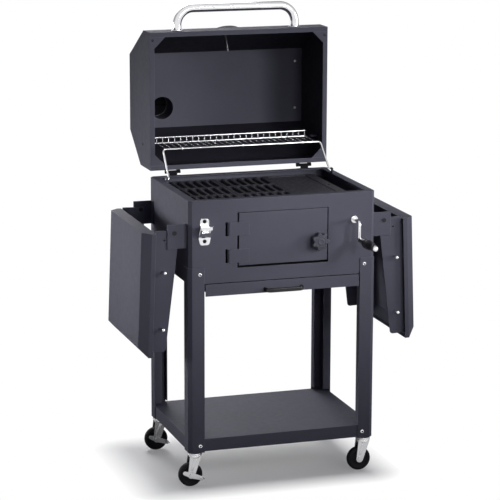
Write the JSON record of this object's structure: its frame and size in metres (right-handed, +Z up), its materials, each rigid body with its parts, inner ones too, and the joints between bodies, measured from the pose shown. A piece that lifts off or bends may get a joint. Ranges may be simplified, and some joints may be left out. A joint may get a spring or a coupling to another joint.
{
  "type": "charcoal grill cart",
  "caption": "Trolley charcoal grill with hinged lid, level warming rack, crank-lifted charcoal tray, front door, ash drawer, folding side tables and swivel casters.",
  "frame": {"origin": "on the floor under the middle of the whole grill's box, lid open and tables hanging", "axes": "+X to the right seen from the front, +Y to the back, +Z up"},
  "size_m": [0.8938, 0.9933, 1.4305],
  "materials": {
    "powder_coat": "satin powder coat",
    "chrome": "polished",
    "bare_steel": "zinc plated",
    "cast_iron": "matte enamel",
    "black_plastic": "matte",
    "black_rubber": "matte",
    "dial_case": "brushed"
  },
  "bodies": {
    "frame": {"front_panel": "powder_coat", "back_panel": "powder_coat", "left_wall": "powder_coat", "right_wall": "powder_coat", "firebox_floor": "powder_coat", "leg_front_left": "powder_coat", "leg_front_right": "powder_coat", "leg_back_left": "powder_coat", "leg_back_right": "powder_coat", "lower_shelf": "powder_coat", "frame_screws": "chrome", "grate_supports": "powder_coat", "grate_left": "cast_iron", "grate_middle": "cast_iron", "griddle_plate": "cast_iron", "drawer_runners": "powder_coat", "table_brackets": "powder_coat", "table_bolts": "chrome", "lid_hinge_leaves": "bare_steel", "bottle_opener": "chrome", "crank_bushings": "chrome", "door_hinge_pins": "bare_steel", "rack_ears": "powder_coat"},
    "lid": {"lid_shell": "powder_coat", "lid_left_side": "powder_coat", "lid_right_side": "powder_coat", "lid_hinge_straps": "bare_steel", "lid_handle": "chrome", "thermometer": "dial_case", "chimney": "powder_coat"},
    "vent": {"vent_disc": "powder_coat"},
    "rack": {"warming_rack": "chrome"},
    "bail": {"rack_bail": "chrome"},
    "door": {"door_panel": "powder_coat", "door_straps": "powder_coat"},
    "latch": {"door_knob": "black_plastic", "latch_tongue": "bare_steel"},
    "drawer": {"ash_drawer": "powder_coat", "drawer_handle": "black_plastic"},
    "tray": {"coal_tray": "powder_coat", "tray_racks": "bare_steel"},
    "crank": {"crank_rod": "chrome", "crank_pinions": "bare_steel"},
    "grip": {"crank_grip": "black_plastic"},
    "left_table": {"left_table_top": "powder_coat", "left_table_arms": "powder_coat", "left_table_hooks": "chrome"},
    "right_table": {"right_table_top": "powder_coat", "right_table_arms": "powder_coat", "right_table_hooks": "chrome"},
    "fork_front_left": {"caster_front_left": "chrome"},
    "wheel_front_left": {"wheel_front_left": "black_rubber"},
    "brake_front_left": {"brake_front_left": "chrome"},
    "fork_front_right": {"caster_front_right": "chrome"},
    "wheel_front_right": {"wheel_front_right": "black_rubber"},
    "fork_back_left": {"caster_back_left": "chrome"},
    "wheel_back_left": {"wheel_back_left": "black_rubber"},
    "brake_back_left": {"brake_back_left": "chrome"},
    "fork_back_right": {"caster_back_right": "chrome"},
    "wheel_back_right": {"wheel_back_right": "black_rubber"}
  },
  "joints": [
    {"name": "lid_hinge", "type": "hinge", "parent": "frame", "child": "lid", "pos_m": [0, 0.13915, 0.9025], "axis": [1, 0, 0], "range_deg": [0, 90]},
    {"name": "rack_pivot", "type": "hinge", "parent": "lid", "child": "rack", "pos_m": [0, 0.21915, 0.9825], "axis": [1, 0, 0], "range_deg": [-90, 0]},
    {"name": "bail_pivot", "type": "hinge", "parent": "frame", "child": "bail", "pos_m": [0, 0.01915, 0.9025], "axis": [1, 0, 0], "range_deg": [0, 90]},
    {"name": "vent_turn", "type": "hinge", "parent": "lid", "child": "vent", "pos_m": [-0.187, 0.45465, 1.071], "axis": [1, 0, 0], "range_deg": [0, 90]},
    {"name": "door_hinge", "type": "hinge", "parent": "frame", "child": "door", "pos_m": [-0.1715, -0.30185, 0.76625], "axis": [0, 0, -1], "range_deg": [0, 110]},
    {"name": "latch_turn", "type": "hinge", "parent": "door", "child": "latch", "pos_m": [0.1125, -0.30585, 0.751], "axis": [0, -1, 0], "range_deg": [0, 90]},
    {"name": "drawer_slide", "type": "slide", "parent": "frame", "child": "drawer", "axis": [0, -1, 0], "range_m": [0, 0.3]},
    {"name": "tray_lift", "type": "slide", "parent": "frame", "child": "tray", "axis": [0, 0, 1], "range_m": [0, 0.066]},
    {"name": "crank_turn", "type": "hinge", "parent": "frame", "child": "crank", "pos_m": [0.229, -0.30585, 0.809], "axis": [0, 1, 0], "range_deg": [0, 210.1]},
    {"name": "grip_spin", "type": "hinge", "parent": "crank", "child": "grip", "pos_m": [0.229, -0.41285, 0.754], "axis": [0, 1, 0], "continuous": true},
    {"name": "left_table_fold", "type": "hinge", "parent": "frame", "child": "left_table", "pos_m": [-0.336, -0.08735, 0.795], "axis": [0, 1, 0], "range_deg": [0, 87.9]},
    {"name": "right_table_fold", "type": "hinge", "parent": "frame", "child": "right_table", "pos_m": [0.336, -0.08735, 0.795], "axis": [0, -1, 0], "range_deg": [0, 87.9]},
    {"name": "swivel_front_left", "type": "hinge", "parent": "frame", "child": "fork_front_left", "pos_m": [-0.275, -0.28385, 0.11], "axis": [0, 0, 1], "continuous": true},
    {"name": "roll_front_left", "type": "hinge", "parent": "fork_front_left", "child": "wheel_front_left", "pos_m": [-0.289, -0.28385, 0.0375], "axis": [0, 1, 0], "continuous": true},
    {"name": "brake_front_left", "type": "hinge", "parent": "fork_front_left", "child": "brake_front_left", "pos_m": [-0.289, -0.28385, 0.0375], "axis": [0, 1, 0], "range_deg": [-15, 0]},
    {"name": "swivel_front_right", "type": "hinge", "parent": "frame", "child": "fork_front_right", "pos_m": [0.275, -0.28385, 0.11], "axis": [0, 0, 1], "continuous": true},
    {"name": "roll_front_right", "type": "hinge", "parent": "fork_front_right", "child": "wheel_front_right", "pos_m": [0.261, -0.28385, 0.0375], "axis": [0, 1, 0], "continuous": true},
    {"name": "swivel_back_left", "type": "hinge", "parent": "frame", "child": "fork_back_left", "pos_m": [-0.275, 0.10915, 0.11], "axis": [0, 0, 1], "continuous": true},
    {"name": "roll_back_left", "type": "hinge", "parent": "fork_back_left", "child": "wheel_back_left", "pos_m": [-0.289, 0.10915, 0.0375], "axis": [0, 1, 0], "continuous": true},
    {"name": "brake_back_left", "type": "hinge", "parent": "fork_back_left", "child": "brake_back_left", "pos_m": [-0.289, 0.10915, 0.0375], "axis": [0, 1, 0], "range_deg": [-15, 0]},
    {"name": "swivel_back_right", "type": "hinge", "parent": "frame", "child": "fork_back_right", "pos_m": [0.275, 0.10915, 0.11], "axis": [0, 0, 1], "continuous": true},
    {"name": "roll_back_right", "type": "hinge", "parent": "fork_back_right", "child": "wheel_back_right", "pos_m": [0.261, 0.10915, 0.0375], "axis": [0, 1, 0], "continuous": true}
  ],
  "couplings": [
    {"joint": "rack_pivot", "follows": "lid_hinge", "ratio": -1},
    {"joint": "bail_pivot", "follows": "lid_hinge", "ratio": 1},
    {"joint": "crank_turn", "follows": "tray_lift", "rad_per_m": 55.556}
  ]
}
